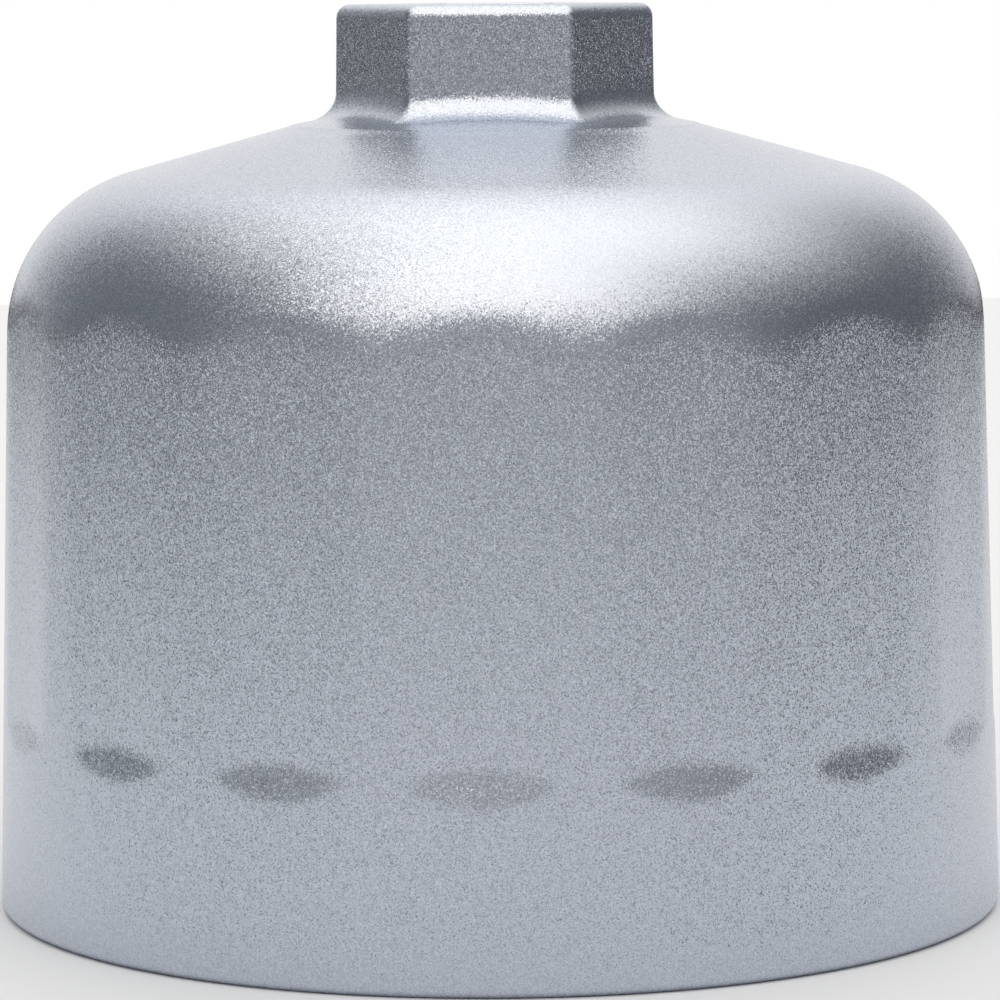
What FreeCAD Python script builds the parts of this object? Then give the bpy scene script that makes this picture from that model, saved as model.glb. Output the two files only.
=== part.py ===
import FreeCAD, Part
import math
import os

# Cup-type oil filter wrench, in millimetres. +Z is up along the turning axis, and the origin is the
# centre of the open end's plane, so the wrench stands on its rim with the hex drive on top.
# -Y is the front: a flat of the hex, a flat of the socket and a flat of the outside all face it.
# The wrench is one aluminium forging. It is modelled as four regions of that forging that meet face
# to face: the rim band, the socket wall, the crown and the drive hub.

# Outside of the cup
RIM_RADIUS = 48.95  # at the open end
WALL_DRAFT = 1.5  # degrees that the wall leans in towards the crown
RIM_EDGE_RADIUS = 1.1  # rounding of the rim's outer edge
SHOULDER_RADIUS = 16.3  # between the wall and the crown
CROWN_SLOPE = 15.5  # degrees that the crown falls away from the hub
CROWN_THICKNESS = 5.3

# Flats on the outside of the wall, one opposite each flat of the socket
FLAT_DEPTH = 0.43
FLAT_END_Z = 17.2  # where a flat has run out to the full wall
FLAT_RUN_OUT = 3.2  # height of the slope that ends it
FLAT_BLEND_RADIUS = 6.0  # where that slope leaves the flat

# Socket that grips the filter cap
SOCKET_FLATS = 16
SOCKET_ACROSS_FLATS = 86.0
SOCKET_DEPTH = 46.0
GROOVE_RADIUS = 3.6  # of the round groove at each corner between two flats
GROOVE_REACH = 44.8  # from the axis to the bottom of a groove
GROOVE_END_RADIUS = 3.0  # where the grooves stop at the socket's full depth
LIP_RADIUS = 0.8  # where a flat rolls over into a groove
LEAD_IN_RADIUS = 45.6  # at the mouth of the cone that guides the cap in
LEAD_IN_ANGLE = 30.0  # degrees between that cone and the axis

# Hub, with a hex outside and a square drive inside
COLLAR_RADIUS = 19.84  # edge of the collar that the hex rises from
CROWN_EDGE_Z = 75.71  # where the crown meets the collar
COLLAR_PROUD = 0.08  # step from the crown up to the collar
COLLAR_EDGE_Z = CROWN_EDGE_Z + COLLAR_PROUD
COLLAR_SLOPE = 11.0  # degrees, flatter than the crown
HEX_TOP_Z = 87.4
HEX_ACROSS_FLATS = 27.0  # at its base
HEX_DRAFT = 0.75  # degrees
HEX_CORNER_RADIUS = 0.9
HEX_TOP_RADIUS = 0.8
HEX_FILLET_RADIUS = 2.2
DRIVE_SQUARE = 9.6  # female square for a 3/8 inch drive
DRIVE_CORNER_RADIUS = 0.6
DRIVE_CHAMFER = 0.8

BAND_TOP_Z = 16.0  # top of the plain band below the flats
CLEAR = 5.0  # how far a cutting shape reaches past the surface it cuts
NEAR = 0.01
FRONT = -90.0  # degrees, the direction of -Y

origin = FreeCAD.Vector(0, 0, 0)
axis = FreeCAD.Vector(0, 0, 1)


def polar(radius, angle, z=0.0):
    """The point at this radius and this angle in degrees about the axis."""
    a = math.radians(angle)
    return FreeCAD.Vector(radius * math.cos(a), radius * math.sin(a), z)


def section(r, z):
    """A point of a half section, which lies in the XZ plane."""
    return FreeCAD.Vector(r, 0, z)


def arc(start, middle, end):
    return Part.Arc(start, middle, end).toShape()


def polyline(*points):
    return [Part.makeLine(a, b) for a, b in zip(points, points[1:])]


def repeated(shape, count):
    """Copies of a shape, evenly spaced about the axis."""
    copies = [shape.copy() for _ in range(count)]
    for i, copy in enumerate(copies):
        copy.rotate(origin, axis, 360.0 * i / count)
    return copies


def circles(shape, radius, z):
    """The shape's round edges of this radius at this height."""
    round_edges = [e for e in shape.Edges if isinstance(e.Curve, Part.Circle)]
    same_size = [e for e in round_edges if abs(e.Curve.Radius - radius) < NEAR]
    return [e for e in same_size if abs(e.Curve.Center.z - z) < NEAR]


class Skin:
    """A surface at one depth below the cup's outside: a drafted wall, a round shoulder, a conical crown."""

    draft = math.radians(WALL_DRAFT)
    slope = math.radians(CROWN_SLOPE)

    def __init__(self, depth):
        self.centre = self.shoulder_centre()
        self.radius = SHOULDER_RADIUS - depth
        self.wall_end = self.on_shoulder(self.draft)
        self.crown_end = self.on_shoulder(math.pi / 2 - self.slope)

    def shoulder_centre(self):
        """The point that lies one shoulder radius inside both the wall and the crown."""
        wall_r, wall_z = math.cos(self.draft), math.sin(self.draft)
        crown_r, crown_z = math.sin(self.slope), math.cos(self.slope)
        to_wall = wall_r * RIM_RADIUS - SHOULDER_RADIUS
        to_crown = crown_r * COLLAR_RADIUS + crown_z * CROWN_EDGE_Z - SHOULDER_RADIUS
        determinant = wall_r * crown_z - wall_z * crown_r
        r = (to_wall * crown_z - wall_z * to_crown) / determinant
        z = (wall_r * to_crown - crown_r * to_wall) / determinant
        return section(r, z)

    def on_shoulder(self, elevation):
        return self.centre + section(math.cos(elevation), math.sin(elevation)) * self.radius

    def wall_r(self, z):
        return self.wall_end.x + (self.wall_end.z - z) * math.tan(self.draft)

    def crown_z(self, r):
        return self.crown_end.z + (self.crown_end.x - r) * math.tan(self.slope)

    def solid(self, bottom_z):
        """Everything inside the skin from bottom_z up, with a flat top as wide as the collar."""
        foot = section(0, bottom_z)
        rim = section(self.wall_r(bottom_z), bottom_z)
        middle = self.on_shoulder((self.draft + math.pi / 2 - self.slope) / 2)
        edge = section(COLLAR_RADIUS, self.crown_z(COLLAR_RADIUS))
        top = section(0, edge.z)
        edges = polyline(foot, rim, self.wall_end)
        edges.append(arc(self.wall_end, middle, self.crown_end))
        edges += polyline(self.crown_end, edge, top, foot)
        return Part.Face(Part.Wire(edges)).revolve(origin, axis, 360)


outside = Skin(0.0)
inside = Skin(CROWN_THICKNESS)
ceiling_z = inside.crown_z(COLLAR_RADIUS)


def flat_space():
    """The space outside one flat that faces +X: the flat, then the slope that runs it out below."""
    lean = outside.draft
    slope = math.atan(FLAT_DEPTH / FLAT_RUN_OUT)
    up = section(-math.sin(lean), math.cos(lean))
    down = section(math.sin(lean + slope), -math.cos(lean + slope))
    knee_z = FLAT_END_Z + FLAT_RUN_OUT
    knee = section(outside.wall_r(knee_z) - FLAT_DEPTH, knee_z)
    tangent = FLAT_BLEND_RADIUS * math.tan(slope / 2)
    sagitta = FLAT_BLEND_RADIUS * (1 / math.cos(slope / 2) - 1)
    top = knee + up * (CROWN_EDGE_Z - knee_z)
    blend_top = knee + up * tangent
    blend_middle = knee + (up + down).normalize() * sagitta
    blend_end = knee + down * tangent
    bottom = knee + down * (3 * FLAT_RUN_OUT)
    far = RIM_RADIUS + CLEAR
    edges = polyline(top, blend_top)
    edges.append(arc(blend_top, blend_middle, blend_end))
    edges += polyline(blend_end, bottom, section(far, bottom.z), section(far, top.z), top)
    width = 2 * RIM_RADIUS * math.sin(math.pi / SOCKET_FLATS)
    face = Part.Face(Part.Wire(edges))
    face.translate(FreeCAD.Vector(0, -width / 2, 0))
    return face.extrude(FreeCAD.Vector(0, width, 0))


def socket_outline():
    """The socket's outline: a flat, then the groove at its corner, all the way round."""
    half_pitch = 180.0 / SOCKET_FLATS
    apothem = SOCKET_ACROSS_FLATS / 2
    groove = polar(GROOVE_REACH - GROOVE_RADIUS, half_pitch)
    half_flat = groove.y - math.sqrt(GROOVE_RADIUS**2 - (apothem - groove.x) ** 2)
    reach = math.hypot(apothem, half_flat)
    swing = math.degrees(math.atan2(half_flat, apothem))
    edges = []
    for i in range(SOCKET_FLATS):
        facing = FRONT + 2 * half_pitch * i
        flat_end = polar(reach, facing + swing)
        next_flat = polar(reach, facing + 2 * half_pitch - swing)
        edges.append(Part.makeLine(polar(reach, facing - swing), flat_end))
        edges.append(arc(flat_end, polar(GROOVE_REACH, facing + half_pitch), next_flat))
    return Part.Face(Part.Wire(edges))


def is_upright(edge):
    return isinstance(edge.Curve, Part.Line) and abs(edge.Curve.Direction.z) > 1 - NEAR


def socket_space():
    """The fluted hollow, with round ends to its grooves and a cone at its mouth."""
    height = SOCKET_DEPTH + CLEAR
    column = socket_outline().extrude(axis * height)
    column = column.makeFillet(LIP_RADIUS, [e for e in column.Edges if is_upright(e)])
    reach = GROOVE_REACH + LIP_RADIUS
    limit = Part.makeCylinder(reach, height)
    limit = limit.makeFillet(GROOVE_END_RADIUS, circles(limit, reach, height))
    column = column.common(limit)
    column.translate(axis * -CLEAR)
    lead_in_height = LEAD_IN_RADIUS / math.tan(math.radians(LEAD_IN_ANGLE))
    return column.fuse(Part.makeCone(LEAD_IN_RADIUS, 0, lead_in_height))


def cup():
    """The whole cup: its rounded rim, outer flats and socket, with a round seat for the hub."""
    body = outside.solid(0.0)
    body = body.makeFillet(RIM_EDGE_RADIUS, circles(body, RIM_RADIUS, 0.0))
    flat = flat_space()
    flat.rotate(origin, axis, FRONT)
    seat = Part.makeCylinder(COLLAR_RADIUS, HEX_TOP_Z)
    hollow = inside.solid(SOCKET_DEPTH - GROOVE_END_RADIUS)
    return body.cut(repeated(flat, SOCKET_FLATS) + [socket_space(), hollow, seat])


def zone(shape, bottom_z, top_z):
    """The part of the shape between two heights."""
    slab = Part.makeCylinder(RIM_RADIUS + CLEAR, top_z - bottom_z, axis * bottom_z)
    return shape.common(slab)


def rounded_polygon(sides, across_flats, corner_radius, z):
    """A regular polygon with round corners and a flat that faces the front."""
    half_turn = 180.0 / sides
    centre_reach = (across_flats / 2 - corner_radius) / math.cos(math.radians(half_turn))
    edges = []
    for i in range(sides):
        facing = FRONT + 2 * half_turn * i
        outward = polar(corner_radius, facing)
        turned = polar(corner_radius, facing + 2 * half_turn)
        previous_centre = polar(centre_reach, facing - half_turn, z)
        centre = polar(centre_reach, facing + half_turn, z)
        corner = polar(centre_reach + corner_radius, facing + half_turn, z)
        edges.append(Part.makeLine(previous_centre + outward, centre + outward))
        edges.append(arc(centre + outward, corner, centre + turned))
    return Part.Wire(edges)


def collar():
    """The low cone that the hex rises from, with the crown's seat below it."""
    apex_z = COLLAR_EDGE_Z + COLLAR_RADIUS * math.tan(math.radians(COLLAR_SLOPE))
    foot = section(0, ceiling_z)
    seat = section(COLLAR_RADIUS, ceiling_z)
    edge = section(COLLAR_RADIUS, COLLAR_EDGE_Z)
    apex = section(0, apex_z)
    return Part.Face(Part.Wire(polyline(foot, seat, edge, apex, foot))).revolve(origin, axis, 360)


def hex_outline(z):
    """The hex's outline at this height, given its draft."""
    taper = 2 * (z - COLLAR_EDGE_Z) * math.tan(math.radians(HEX_DRAFT))
    return rounded_polygon(6, HEX_ACROSS_FLATS - taper, HEX_CORNER_RADIUS, z)


def hex_boss():
    """The collar and the hex, with the fillet between them and a rounded top edge."""
    prism = Part.makeLoft([hex_outline(ceiling_z), hex_outline(HEX_TOP_Z)], True, True)
    boss = collar().fuse(prism).removeSplitter()
    top_edges = [e for e in boss.Edges if e.BoundBox.ZMin > HEX_TOP_Z - NEAR]
    boss = boss.makeFillet(HEX_TOP_RADIUS, top_edges)
    return boss.makeFillet(HEX_FILLET_RADIUS, [e for e in boss.Edges if is_hex_foot(e)])


def is_hex_foot(edge):
    """True for the edges where the hex meets the collar."""
    box = edge.BoundBox
    reach = math.hypot(box.Center.x, box.Center.y)
    between = COLLAR_EDGE_Z + NEAR < box.ZMin and box.ZMax < HEX_TOP_Z - HEX_TOP_RADIUS - NEAR
    return between and NEAR < reach < COLLAR_RADIUS and box.ZLength < HEX_CORNER_RADIUS


def drive_space():
    """The square hole right through the hub, with a chamfered mouth."""
    bottom_z = ceiling_z - CLEAR
    square = rounded_polygon(4, DRIVE_SQUARE, DRIVE_CORNER_RADIUS, bottom_z)
    hole = Part.Face(square).extrude(axis * (HEX_TOP_Z + CLEAR - bottom_z))
    mouth_low = rounded_polygon(4, DRIVE_SQUARE, DRIVE_CORNER_RADIUS, HEX_TOP_Z - DRIVE_CHAMFER)
    mouth_square = DRIVE_SQUARE + 2 * DRIVE_CHAMFER
    mouth_high = rounded_polygon(4, mouth_square, DRIVE_CORNER_RADIUS + DRIVE_CHAMFER, HEX_TOP_Z)
    return hole.fuse(Part.makeLoft([mouth_low, mouth_high], True, True))


def drive_hub():
    return hex_boss().cut(drive_space())


def export(name, shape):
    """Writes the shape's one solid, after a check that it is whole."""
    solids = shape.Solids
    if len(solids) != 1 or not solids[0].isValid():
        raise ValueError(f"{name} has {len(solids)} solids, or one that is not valid")
    box = solids[0].optimalBoundingBox()
    size = f"{box.XLength:.2f} x {box.YLength:.2f} mm, z {box.ZMin:.2f} to {box.ZMax:.2f}"
    print(f"{name}: {solids[0].Volume / 1000:.2f} cm3, {size}")
    solids[0].exportStep(f"parts/{name}.step")


os.makedirs("parts", exist_ok=True)
whole_cup = cup()
export("rim_band", zone(whole_cup, 0.0, BAND_TOP_Z))
export("socket_wall", zone(whole_cup, BAND_TOP_Z, SOCKET_DEPTH))
export("crown", zone(whole_cup, SOCKET_DEPTH, HEX_TOP_Z))
export("drive_hub", drive_hub())
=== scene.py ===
import math

import bpy
import numpy as np
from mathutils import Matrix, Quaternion, Vector


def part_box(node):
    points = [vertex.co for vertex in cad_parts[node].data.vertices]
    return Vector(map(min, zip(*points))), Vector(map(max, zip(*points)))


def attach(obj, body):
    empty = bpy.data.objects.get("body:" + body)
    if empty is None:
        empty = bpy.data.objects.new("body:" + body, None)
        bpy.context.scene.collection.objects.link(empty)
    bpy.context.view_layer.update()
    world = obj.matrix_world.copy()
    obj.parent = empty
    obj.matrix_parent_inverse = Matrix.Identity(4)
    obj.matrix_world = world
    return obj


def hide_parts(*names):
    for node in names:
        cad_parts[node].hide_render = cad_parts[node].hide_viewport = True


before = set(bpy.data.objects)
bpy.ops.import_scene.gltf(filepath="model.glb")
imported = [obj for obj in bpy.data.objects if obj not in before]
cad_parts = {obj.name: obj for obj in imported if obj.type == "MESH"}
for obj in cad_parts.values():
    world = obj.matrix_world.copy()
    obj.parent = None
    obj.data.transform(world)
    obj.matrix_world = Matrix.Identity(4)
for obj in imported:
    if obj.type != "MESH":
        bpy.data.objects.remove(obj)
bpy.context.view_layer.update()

# A cup-type oil filter wrench: one aluminium forging, bead-blasted all over. Metres, +Z up, -Y the front.
# The forging's skin is one closed sheet of rings, from the drive hole over the outside, round the rim,
# up the socket and back to the drive hole. The frame gives the overall sizes, and the values below give
# the roundings and slopes in between. They are the CAD model's, but for a softer top to the hex, and
# softer edges and slightly shorter run-outs to the flats.

_, rim_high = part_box("rim_band")
crown_low, crown_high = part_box("crown")
hub_low, hub_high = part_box("drive_hub")

MM = 0.001
SEGMENTS = 480  # around the axis: the 16 flats and the hex's 6 both divide it
FLATS = 16
SMALL_EDGE = 0.15 * MM  # the rounding that blasting leaves on a sharp edge

WALL_DRAFT = math.radians(1.5)
RIM_EDGE = 1.1 * MM
RIM_RADIUS = rim_high.x + RIM_EDGE * math.tan(WALL_DRAFT)
SHOULDER = 16.3 * MM
CROWN_SLOPE = math.radians(15.5)
THICKNESS = 5.3 * MM

FLAT_DEPTH = 0.43 * MM
RUN_OUT_TOP = 20.2 * MM  # where the middle of a flat starts to slope out to the wall
RUN_OUT_TIP = 19.0 * MM  # where its two edges do
RUN_OUT_END = 17.2 * MM  # where its middle reaches the wall
RUN_OUT_MARGIN = 1.2 * MM  # how far the fine rings go on past the run-outs
RUN_OUT_BLEND = 0.15 * MM  # how softly a flat's edge is rounded at its run-out
SHOULDER_BLEND = 0.6 * MM  # and at the shoulder

SOCKET_APOTHEM = 43.0 * MM
SOCKET_DEPTH = crown_low.z
GROOVE_RADIUS = 3.6 * MM
GROOVE_REACH = 44.8 * MM
GROOVE_LIP = 0.8 * MM
GROOVE_END = 3.0 * MM
LEAD_IN_RADIUS = 45.6 * MM
LEAD_IN_ANGLE = math.radians(30.0)
LEAD_IN_BLEND = 0.25 * MM
LEAD_IN_TOP = (LEAD_IN_RADIUS - SOCKET_APOTHEM) / math.tan(LEAD_IN_ANGLE)
PLAIN_SOCKET_Z = 1.2 * LEAD_IN_TOP  # just above the lead-in and its blend

COLLAR_RADIUS = hub_high.x
CROWN_EDGE_Z = crown_high.z
COLLAR_PROUD = 0.08 * MM  # the collar stands this far above the crown's edge
COLLAR_EDGE_Z = CROWN_EDGE_Z + COLLAR_PROUD
COLLAR_SLOPE = math.radians(11.0)
COLLAR_EDGE = 0.2 * MM  # half the width of the soft step from the collar to the crown
HEX_TOP = hub_high.z
HEX_APOTHEM = 13.5 * MM
HEX_DRAFT = math.radians(0.75)
HEX_CORNER = 0.9 * MM
HEX_TOP_EDGE = 1.2 * MM
HEX_FILLET = 2.2 * MM
FILLET_CORNER_GROWTH = 0.15  # how fast the corner's radius grows down the fillet
CEILING_Z = hub_low.z
DRIVE_HALF = 4.8 * MM
DRIVE_CORNER = 0.6 * MM
DRIVE_CHAMFER = 0.8 * MM

# Where the rings of a plain stretch lie, as shares of the way across. The outer ones are close to its ends,
# so that the stretch shades flat.
HEX_TOP_SHARES = (0.3, 0.65, 0.93, 0.98)
HEX_SIDE_SHARES = (0.03, 0.35, 0.7, 0.97)
COLLAR_SHARES = (0.04, 0.25, 0.5, 0.75, 0.96, 1.0)
RIM_FACE_SHARES = (0.06, 0.5, 0.9)
CEILING_SHARES = (0.03, 0.3, 0.65, 0.96)

# Where the rings round a sharp edge lie, each so many small edges out and up from it.
CHAMFER_FOOT = ((0.0, -1.0), (0.2, 0.2), (1.0, 1.0))
CHAMFER_MOUTH = ((-1.0, -1.0), (-0.2, -0.4), (0.2, -0.05), (1.0, 0.0))
CEILING_EDGE = ((0.0, -0.1),)
HOLE_FOOT = ((-0.7, 0.3),)

angles = np.arange(SEGMENTS) * 2 * math.pi / SEGMENTS  # from the front, turning towards +X


def smooth_least(a, b, width):
    """The lesser of two values, rounded off over this width where they cross."""
    near = np.maximum(width - np.abs(a - b), 0.0) / width
    return np.minimum(a, b) - near**3 * width / 6


def smooth_most(a, b, width):
    """The greater of two values, rounded off over this width where they cross."""
    return -smooth_least(-a, -b, width)


def from_flat(sides):
    """Each angle's distance from the middle of its nearest flat, on a polygon with a flat at the front."""
    pitch = 2 * math.pi / sides
    return np.abs((angles + pitch / 2) % pitch - pitch / 2)


def far_side(centre, radius, off_centre):
    """The outer side of a circle centred this far out, as a radius at each angle off its centre."""
    bulge = np.sqrt(np.maximum(radius**2 - (centre * np.sin(off_centre)) ** 2, 0.0))
    return centre * np.cos(off_centre) + bulge


def polygon(sides, apothem, corner):
    """A regular polygon with round corners and a flat at the front, as a radius at each angle."""
    half_pitch = math.pi / sides
    off_flat = from_flat(sides)
    centre = (apothem - corner) / math.cos(half_pitch)
    tangent = math.atan((apothem - corner) * math.tan(half_pitch) / apothem)
    round_corner = far_side(centre, corner, half_pitch - off_flat)
    return np.where(off_flat < tangent, apothem / np.cos(off_flat), round_corner)


class Skin:
    """The cup's surface at one depth below its outside: a drafted wall, a round shoulder, a conical crown."""

    def __init__(self, depth):
        wall = np.array([math.cos(WALL_DRAFT), math.sin(WALL_DRAFT)])
        crown = np.array([math.sin(CROWN_SLOPE), math.cos(CROWN_SLOPE)])
        reaches = [
            wall @ [RIM_RADIUS, 0.0] - SHOULDER,
            crown @ [COLLAR_RADIUS, CROWN_EDGE_Z] - SHOULDER,
        ]
        self.centre = np.linalg.solve([wall, crown], reaches)
        self.radius = SHOULDER - depth
        self.wall_end = self.centre + wall * self.radius
        self.crown_end = self.centre + crown * self.radius

    def wall_r(self, z):
        """The wall's radius at this height."""
        return self.wall_end[0] + (self.wall_end[1] - z) * math.tan(WALL_DRAFT)

    def crown_z(self, r):
        """The crown's height at this radius."""
        return self.crown_end[1] + (self.crown_end[0] - r) * math.tan(CROWN_SLOPE)

    def shoulder(self, share):
        """The shoulder's (r, z), from 0 at the crown to 1 at the wall."""
        elevation = math.pi / 2 - CROWN_SLOPE - share * (math.pi / 2 - CROWN_SLOPE - WALL_DRAFT)
        return self.centre + np.array([math.cos(elevation), math.sin(elevation)]) * self.radius


outside = Skin(0.0)
inside = Skin(THICKNESS)


def flat_depth(z):
    """How far the outer flats lie below the wall at this height. Each ends below in a lens-shaped slope."""
    wall = outside.wall_r(z)
    depth = wall - (wall - FLAT_DEPTH) / np.cos(from_flat(FLATS))
    middle = np.maximum(depth / FLAT_DEPTH, 0.0)
    end = RUN_OUT_TIP - (RUN_OUT_TIP - RUN_OUT_END) * middle
    slope = FLAT_DEPTH / (RUN_OUT_TOP - RUN_OUT_END)
    return smooth_least(depth, (z - end) * slope, RUN_OUT_BLEND)


def outer_r(skin_r, z):
    """The outside at this height, where the round skin of radius skin_r meets the flats."""
    blend = np.interp(z, [RUN_OUT_TOP, outside.wall_end[1]], [RUN_OUT_BLEND, SHOULDER_BLEND])
    return smooth_least(skin_r, outside.wall_r(z) - flat_depth(z), blend)


def socket_r(z):
    """The socket's outline: flats with a round groove at each corner, which end in a round at full depth."""
    off_flat = from_flat(FLATS)
    groove = far_side(GROOVE_REACH - GROOVE_RADIUS, GROOVE_RADIUS, math.pi / FLATS - off_flat)
    outline = smooth_most(SOCKET_APOTHEM / np.cos(off_flat), groove, GROOVE_LIP)
    rise = max(z - (SOCKET_DEPTH - GROOVE_END), 0.0)
    limit = GROOVE_REACH + GROOVE_LIP - GROOVE_END + math.sqrt(max(GROOVE_END**2 - rise**2, 0.0))
    lead_in = LEAD_IN_RADIUS - z * math.tan(LEAD_IN_ANGLE)
    return smooth_most(np.minimum(outline, limit), lead_in, LEAD_IN_BLEND)


def collar_z(r):
    """The collar's height at this radius."""
    return COLLAR_EDGE_Z + (COLLAR_RADIUS - r) * math.tan(COLLAR_SLOPE)


def hex_r(z, offset=0.0):
    """The hex's outline at this height, this far out from its side."""
    apothem = HEX_APOTHEM - (z - COLLAR_EDGE_Z) * math.tan(HEX_DRAFT) + offset
    return polygon(sides=6, apothem=apothem, corner=HEX_CORNER + FILLET_CORNER_GROWTH * offset)


def drive_r(offset=0.0):
    """The square hole's outline, this far out from its side."""
    return polygon(sides=4, apothem=DRIVE_HALF + offset, corner=DRIVE_CORNER + offset)


# Rings


def ring(r, z):
    """One ring of points at this radius and height, either of which may vary round the ring."""
    r = np.broadcast_to(r, angles.shape)
    z = np.broadcast_to(z, angles.shape)
    return np.stack([r * np.sin(angles), -r * np.cos(angles), z], axis=1)


def level(start_r, end_r, z, shares):
    """Rings across a level face, at these shares of the way."""
    for share in shares:
        yield ring(start_r + (end_r - start_r) * share, z)


def round_edge(r, z, places):
    """Rings round the sharp edge at this radius and height."""
    for out, up in places:
        yield ring(r + out * SMALL_EDGE, z + up * SMALL_EDGE)


def steps(start, end, count):
    """Values from start to end, without the end."""
    return np.linspace(start, end, count, endpoint=False)


def quarter_turn(count):
    """Angles from 0 to a right angle, both included."""
    return np.linspace(0.0, math.pi / 2, count)


def drive_rings():
    """Up the square hole, over its chamfer and across the hex's top."""
    hole = drive_r()
    mouth = drive_r(DRIVE_CHAMFER)
    chamfer_z = HEX_TOP - DRIVE_CHAMFER
    yield ring(hole, CEILING_Z + SMALL_EDGE)
    for z in steps(CEILING_Z + 2 * SMALL_EDGE, chamfer_z - SMALL_EDGE, count=4):
        yield ring(hole, z)
    yield from round_edge(hole, chamfer_z, CHAMFER_FOOT)
    yield from round_edge(mouth, HEX_TOP, CHAMFER_MOUTH)
    yield from level(mouth, hex_r(HEX_TOP, -HEX_TOP_EDGE), HEX_TOP, HEX_TOP_SHARES)


def hex_rings():
    """Round the hex's top edge, down its sides and through the fillet."""
    for turn in quarter_turn(count=9):
        inset = HEX_TOP_EDGE * (1 - math.sin(turn))
        z = HEX_TOP - HEX_TOP_EDGE * (1 - math.cos(turn))
        yield ring(hex_r(z, -inset), z)
    side_top = HEX_TOP - HEX_TOP_EDGE
    fillet_top = collar_z(HEX_APOTHEM) + HEX_FILLET
    for share in HEX_SIDE_SHARES:
        z = side_top + (fillet_top - side_top) * share
        yield ring(hex_r(z), z)
    for turn in quarter_turn(count=13):
        offset = HEX_FILLET * (1 - math.cos(turn))
        rise = HEX_FILLET * (1 - math.sin(turn))
        r = hex_r(COLLAR_EDGE_Z + rise, offset)
        yield ring(r, collar_z(r) + rise)


def collar_rings():
    """Down the collar to the start of its soft edge."""
    foot = hex_r(COLLAR_EDGE_Z, HEX_FILLET)
    for share in COLLAR_SHARES:
        r = foot + (COLLAR_RADIUS - COLLAR_EDGE - foot) * share
        yield ring(r, collar_z(r))


def crown_rings():
    """Down the crown's cone and round the shoulder."""
    for r in steps(COLLAR_RADIUS + COLLAR_EDGE, outside.crown_end[0], count=10):
        yield ring(r, outside.crown_z(r))
    for share in steps(0.0, 1.0, count=34):
        r, z = outside.shoulder(share)
        yield ring(outer_r(r, z), z)


def wall_rings():
    """Down the wall with its flats, through their run-outs and down the plain band."""
    fine_start = RUN_OUT_TOP + RUN_OUT_MARGIN
    fine_end = RUN_OUT_END - RUN_OUT_MARGIN
    band_end = 1.3 * RIM_EDGE  # just above the rim's round edge
    heights = np.concatenate([
        steps(outside.wall_end[1], fine_start, count=10),
        steps(fine_start, fine_end, count=22),
        steps(fine_end, band_end, count=4),
    ])
    for z in heights:
        yield ring(outer_r(outside.wall_r(z), z), z)


def rim_rings():
    """Round the rim's outer edge, across its face and round its inner edge."""
    face_start = outside.wall_r(RIM_EDGE) - RIM_EDGE
    for turn in quarter_turn(count=9):
        r = outside.wall_r(RIM_EDGE) - RIM_EDGE * (1 - math.cos(turn))
        yield ring(r, RIM_EDGE * (1 - math.sin(turn)))
    yield from level(face_start, LEAD_IN_RADIUS, 0.0, RIM_FACE_SHARES)
    for turn in quarter_turn(count=4):
        rise = SMALL_EDGE * (1 - math.cos(turn))
        yield ring(LEAD_IN_RADIUS + SMALL_EDGE * (1 - math.sin(turn)) - rise * math.tan(LEAD_IN_ANGLE), rise)


def socket_rings():
    """Up the lead-in cone and the socket to its full depth."""
    for z in steps(2 * SMALL_EDGE, PLAIN_SOCKET_Z, count=12):
        yield ring(socket_r(z), z)
    for z in steps(PLAIN_SOCKET_Z, SOCKET_DEPTH - GROOVE_END, count=6):
        yield ring(socket_r(z), z)
    for turn in quarter_turn(count=9):
        z = SOCKET_DEPTH - GROOVE_END * (1 - math.sin(turn))
        yield ring(np.maximum(socket_r(z), inside.wall_r(z) + SMALL_EDGE), z)


def dome_rings():
    """Up the inside of the shoulder and crown, and across the ceiling to the drive hole."""
    yield ring(inside.wall_r(SOCKET_DEPTH), SOCKET_DEPTH + SMALL_EDGE)
    for z in steps(SOCKET_DEPTH + 2 * SMALL_EDGE, inside.wall_end[1], count=4):
        yield ring(inside.wall_r(z), z)
    for share in steps(1.0, 0.0, count=12):
        r, z = inside.shoulder(share)
        yield ring(r, z)
    for r in steps(inside.crown_end[0], COLLAR_RADIUS + SMALL_EDGE, count=5):
        yield ring(r, inside.crown_z(r))
    yield from round_edge(COLLAR_RADIUS, CEILING_Z, CEILING_EDGE)
    hole = drive_r(SMALL_EDGE)
    yield from level(COLLAR_RADIUS, hole, CEILING_Z, CEILING_SHARES)
    yield from round_edge(hole, CEILING_Z, HOLE_FOOT)


def closed_skin(name, rings):
    """A smooth mesh with each ring joined to the next one, and the last to the first."""
    points = np.array(rings)
    count = len(points)
    index = np.arange(count * SEGMENTS).reshape(count, SEGMENTS)
    below = np.roll(index, -1, axis=0)
    corners = [index, np.roll(index, -1, axis=1), np.roll(below, -1, axis=1), below]
    faces = np.stack(corners, axis=-1).reshape(-1, 4)
    mesh = bpy.data.meshes.new(name)
    mesh.from_pydata(points.reshape(-1, 3).tolist(), [], faces[:, ::-1].tolist())
    mesh.shade_smooth()
    mesh.validate()
    piece = bpy.data.objects.new(name, mesh)
    bpy.context.scene.collection.objects.link(piece)
    return piece


def forged_wrench():
    """The whole forging: down its outside, round its rim and up its inside."""
    stretches = [
        drive_rings(), hex_rings(), collar_rings(), crown_rings(),
        wall_rings(), rim_rings(), socket_rings(), dome_rings(),
    ]
    return closed_skin("forged_wrench", [row for stretch in stretches for row in stretch])


# Shader nodes, for the materials and the light

MIX_SHARE, MIX_FIRST, MIX_SECOND, MIX_RESULT = 0, 6, 7, 2  # a Mix node's sockets when it mixes colours


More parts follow.
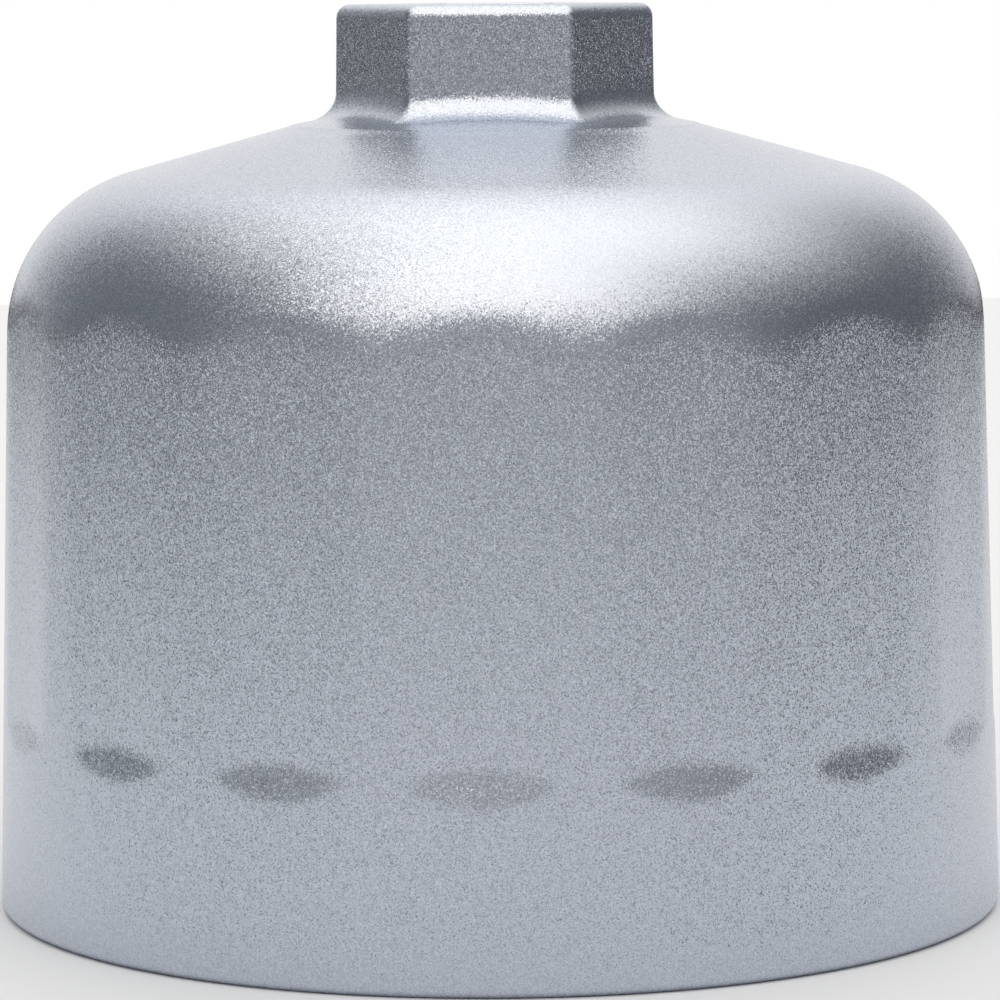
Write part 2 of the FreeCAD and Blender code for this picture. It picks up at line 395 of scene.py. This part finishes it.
def feed(tree, socket, value):
    """Links the value to the socket, or sets the socket to it if it is a plain one."""
    if isinstance(value, bpy.types.NodeSocket):
        tree.links.new(value, socket)
    else:
        socket.default_value = value


def maths(tree, operation, *values, kind="ShaderNodeMath"):
    """One maths step on sockets or plain numbers."""
    step = tree.nodes.new(kind)
    step.operation = operation
    for socket, value in zip(step.inputs, values):
        feed(tree, socket, value)
    return step.outputs[0]


def vector_maths(tree, operation, *values):
    """One maths step on sockets or plain vectors."""
    return maths(tree, operation, *values, kind="ShaderNodeVectorMath")


def split(tree, vector):
    """The three parts of a vector or colour."""
    parts = tree.nodes.new("ShaderNodeSeparateXYZ")
    tree.links.new(vector, parts.inputs[0])
    return parts.outputs


def mixed(tree, first, second, share):
    """A colour that goes from the first to the second as the share goes from 0 to 1."""
    mix = tree.nodes.new("ShaderNodeMix")
    mix.data_type = "RGBA"
    feed(tree, mix.inputs[MIX_SHARE], share)
    feed(tree, mix.inputs[MIX_FIRST], first)
    feed(tree, mix.inputs[MIX_SECOND], second)
    return mix.outputs[MIX_RESULT]


# Materials

BASE_TONE = (0.527, 0.563, 0.645)
TONE_SPREAD = 0.16  # how much darker or lighter a dimple may be, as a share of the base tone
ROUGHNESS = 0.25
ROUGHNESS_SPREAD = 0.08  # how much smoother or rougher it may be
DIMPLE_SIZE = 0.10 * MM
DIMPLE_TIP = 0.16  # how far it may tip the normal along each axis, as a slope
FLOOR_TONE = (0.80, 0.82, 0.86, 1.0)
FLOOR_ROUGHNESS = 0.8


def new_material(name):
    """A material with its node tree and shader."""
    material = bpy.data.materials.new(name)
    material.use_nodes = True
    tree = material.node_tree
    return material, tree, tree.nodes["Principled BSDF"]


def dimples(tree):
    """A random colour for each of the dimples that blasting leaves, the same all over the dimple."""
    cells = tree.nodes.new("ShaderNodeTexVoronoi")
    cells.inputs["Scale"].default_value = 1 / DIMPLE_SIZE
    tree.links.new(tree.nodes.new("ShaderNodeTexCoord").outputs["Object"], cells.inputs["Vector"])
    return cells.outputs["Color"]


def tipped_normal(tree, dimple):
    """The surface's normal, tipped its own way in each dimple: mostly a little, and rarely a lot."""
    spread = vector_maths(tree, "MULTIPLY_ADD", dimple, (2.0, 2.0, 2.0), (-1.0, -1.0, -1.0))
    mostly_small = vector_maths(tree, "MULTIPLY", spread, vector_maths(tree, "ABSOLUTE", spread))
    tip = vector_maths(tree, "MULTIPLY", mostly_small, (DIMPLE_TIP, DIMPLE_TIP, DIMPLE_TIP))
    normal = tree.nodes.new("ShaderNodeNewGeometry").outputs["Normal"]
    return vector_maths(tree, "NORMALIZE", vector_maths(tree, "ADD", normal, tip))


def blasted_aluminium():
    """Satin metal in fine dimples, each with its own tone, sheen and tilt."""
    material, tree, shader = new_material("blasted_aluminium")
    shader.inputs["Metallic"].default_value = 1.0
    dimple = dimples(tree)
    tone_pick, sheen_pick, _ = split(tree, dimple)
    darkest = [(1 - TONE_SPREAD) * part for part in BASE_TONE] + [1.0]
    lightest = [(1 + TONE_SPREAD) * part for part in BASE_TONE] + [1.0]
    smoothest = ROUGHNESS - ROUGHNESS_SPREAD
    sheen = maths(tree, "MULTIPLY_ADD", sheen_pick, 2 * ROUGHNESS_SPREAD, smoothest)
    tree.links.new(mixed(tree, darkest, lightest, tone_pick), shader.inputs["Base Color"])
    tree.links.new(sheen, shader.inputs["Roughness"])
    tree.links.new(tipped_normal(tree, dimple), shader.inputs["Normal"])
    return material


def pale_floor():
    """A plain matt floor."""
    material, _, shader = new_material("pale_floor")
    shader.inputs["Base Color"].default_value = FLOOR_TONE
    shader.inputs["Roughness"].default_value = FLOOR_ROUGHNESS
    return material


wrench = forged_wrench()
wrench.data.materials.append(blasted_aluminium())
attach(wrench, "root")
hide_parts("rim_band", "socket_wall", "crown", "drive_hub")

# Floor

FLOOR_RADIUS = 0.85
FLOOR_SIDES = 180


def floor():
    """A plain disc on which the wrench stands."""
    mesh = bpy.data.meshes.new("floor")
    turns = np.linspace(0, 2 * math.pi, FLOOR_SIDES, endpoint=False)
    edge = [(FLOOR_RADIUS * math.cos(turn), FLOOR_RADIUS * math.sin(turn), 0.0) for turn in turns]
    mesh.from_pydata(edge, [], [range(FLOOR_SIDES)])
    piece = bpy.data.objects.new("floor", mesh)
    bpy.context.scene.collection.objects.link(piece)
    piece.data.materials.append(pale_floor())
    return piece


floor()

# Light. The studio is far away in every direction: dim at the sides, with soft lights before, behind and
# above the wrench. Headings turn from the front to +X. Each pair says where a light begins and where it is
# full, in degrees.

DARK = (0.0, 0.0, 0.0, 1.0)
RIGHT_SIDE = (0.16, 0.165, 0.175, 1.0)
LEFT_SIDE = (0.22, 0.23, 0.24, 1.0)
LEFT_HEADINGS = (30, -30)
LOW_FRONT = (0.42, 0.425, 0.437, 1.0)
LOW_FRONT_HEADINGS = (83, 21)  # to either side of the front
BACK = (1.02, 1.01, 0.99, 1.0)
BACK_LEAN = math.radians(5)  # how far the back light leans to -X
BACK_HEADINGS = (57, 16)  # to either side of its middle
FRONT = (1.85, 1.76, 1.59, 1.0)
FRONT_HEADINGS = (63, 23)  # to either side of the front
FRONT_ELEVATIONS = (16, 34)
TOP = (1.84, 1.78, 1.66, 1.0)
TOP_LEAN = 0.087  # how far the top light leans to +X, as a slope
TOP_ELEVATIONS = (24, 82)
BACKDROP = (1.0, 1.0, 1.0, 1.0)


def fade_in(tree, angle, begins_and_full):
    """A smooth step from 0 to 1 between two angles in degrees, for an angle in radians."""
    begins, full = begins_and_full
    edge = tree.nodes.new("ShaderNodeMapRange")
    edge.interpolation_type = "SMOOTHSTEP"
    edge.inputs["From Min"].default_value = math.radians(begins)
    edge.inputs["From Max"].default_value = math.radians(full)
    tree.links.new(angle, edge.inputs["Value"])
    return edge.outputs["Result"]


def studio_light(tree, east, north, up):
    """The colour of the light from a direction: each light lies over the ones before it."""
    elevation = maths(tree, "ARCSINE", up)
    heading = maths(tree, "ARCTAN2", east, maths(tree, "MULTIPLY", north, -1.0))
    off_front = maths(tree, "ABSOLUTE", heading)
    off_back = maths(tree, "ABSOLUTE", maths(tree, "ADD", maths(tree, "ARCTAN2", east, north), BACK_LEAN))
    leaning = maths(tree, "ARCSINE", maths(tree, "MULTIPLY_ADD", east, TOP_LEAN, up))
    above = maths(tree, "GREATER_THAN", up, 0.0)
    low_front = maths(tree, "MULTIPLY", above, fade_in(tree, off_front, LOW_FRONT_HEADINGS))
    back = maths(tree, "MULTIPLY", above, fade_in(tree, off_back, BACK_HEADINGS))
    front_across = fade_in(tree, off_front, FRONT_HEADINGS)
    front = maths(tree, "MULTIPLY", front_across, fade_in(tree, elevation, FRONT_ELEVATIONS))
    sides = mixed(tree, RIGHT_SIDE, LEFT_SIDE, fade_in(tree, heading, LEFT_HEADINGS))
    light = mixed(tree, DARK, sides, above)
    light = mixed(tree, light, LOW_FRONT, low_front)
    light = mixed(tree, light, BACK, back)
    light = mixed(tree, light, FRONT, front)
    return mixed(tree, light, TOP, fade_in(tree, leaning, TOP_ELEVATIONS))


def studio():
    """The world around the wrench, which lights it but looks plain white itself."""
    world = bpy.data.worlds.new("studio")
    world.use_nodes = True
    tree = world.node_tree
    direction = tree.nodes.new("ShaderNodeTexCoord").outputs["Generated"]
    light = studio_light(tree, *split(tree, direction))
    seen = tree.nodes.new("ShaderNodeLightPath").outputs["Is Camera Ray"]
    tree.links.new(mixed(tree, light, BACKDROP, seen), tree.nodes["Background"].inputs["Color"])
    bpy.context.scene.world = world


studio()
bpy.context.scene.view_settings.view_transform = "Standard"

# Camera, with its angles in radians

CAMERA_DISTANCE = 460.1 * MM  # from the wrench's axis
CAMERA_HEIGHT = 90.65 * MM
CAMERA_AZIMUTH = 0.0315  # from the front towards +X
CAMERA_TILT = 0.1116  # below level
CAMERA_ROLL = -0.007
CAMERA_PAN = 0.0005  # how far it aims to +X of the axis
CAMERA_LENS = 170.4  # the focal length in mm
CAMERA_NEAR = 10 * MM
CAMERA_FAR = 100.0


def camera():
    """A long lens a little higher than the wrench's top, looking slightly down."""
    data = bpy.data.cameras.new("camera")
    data.lens = CAMERA_LENS
    data.clip_start = CAMERA_NEAR
    data.clip_end = CAMERA_FAR
    eye = bpy.data.objects.new("camera", data)
    eye.location = (
        CAMERA_DISTANCE * math.sin(CAMERA_AZIMUTH),
        -CAMERA_DISTANCE * math.cos(CAMERA_AZIMUTH),
        CAMERA_HEIGHT,
    )
    heading = CAMERA_PAN - CAMERA_AZIMUTH
    aim = Vector((
        math.sin(heading) * math.cos(CAMERA_TILT),
        math.cos(heading) * math.cos(CAMERA_TILT),
        -math.sin(CAMERA_TILT),
    ))
    eye.rotation_mode = "QUATERNION"
    eye.rotation_quaternion = aim.to_track_quat("-Z", "Y") @ Quaternion((0, 0, 1), CAMERA_ROLL)
    bpy.context.scene.collection.objects.link(eye)
    return eye


bpy.context.scene.camera = camera()
